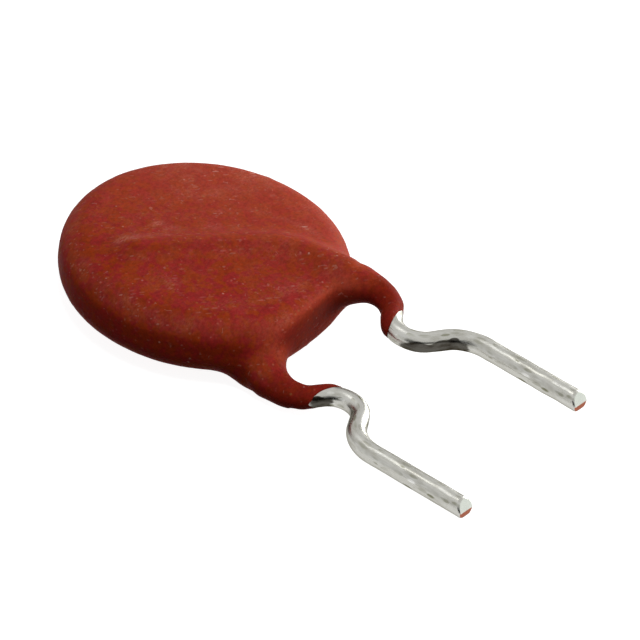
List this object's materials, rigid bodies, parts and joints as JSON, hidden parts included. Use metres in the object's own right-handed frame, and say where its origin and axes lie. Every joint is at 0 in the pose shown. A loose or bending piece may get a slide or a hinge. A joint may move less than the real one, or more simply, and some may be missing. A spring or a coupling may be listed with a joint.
{
  "type": "ptc thermistor",
  "caption": "Radial disc PTC thermistor: a ceramic disc dipped in brick-red resin, with kinked tinned wire leads for through-hole mounting.",
  "frame": {"origin": "under the middle of the whole part, at the level of the lowest ridge of the coating", "axes": "+X across the leads, the leads point along -Y, +Z along the normal of the disc"},
  "size_m": [0.0084, 0.0158, 0.0026],
  "materials": {
    "dipped_resin": "matte brick-red dipped resin",
    "titanate_ceramic": "sintered, matte",
    "fired_silver": "matte fired metal layer",
    "solder": "dull soldered",
    "tinned_copper": "satin tinned copper wire, bare copper at the cut tips"
  },
  "bodies": {
    "root": {"coating": "dipped_resin", "ceramic_disc": "titanate_ceramic", "upper_electrode": "fired_silver", "lower_electrode": "fired_silver", "upper_solder": "solder", "lower_solder": "solder", "upper_lead": "tinned_copper", "lower_lead": "tinned_copper"}
  },
  "joints": []
}
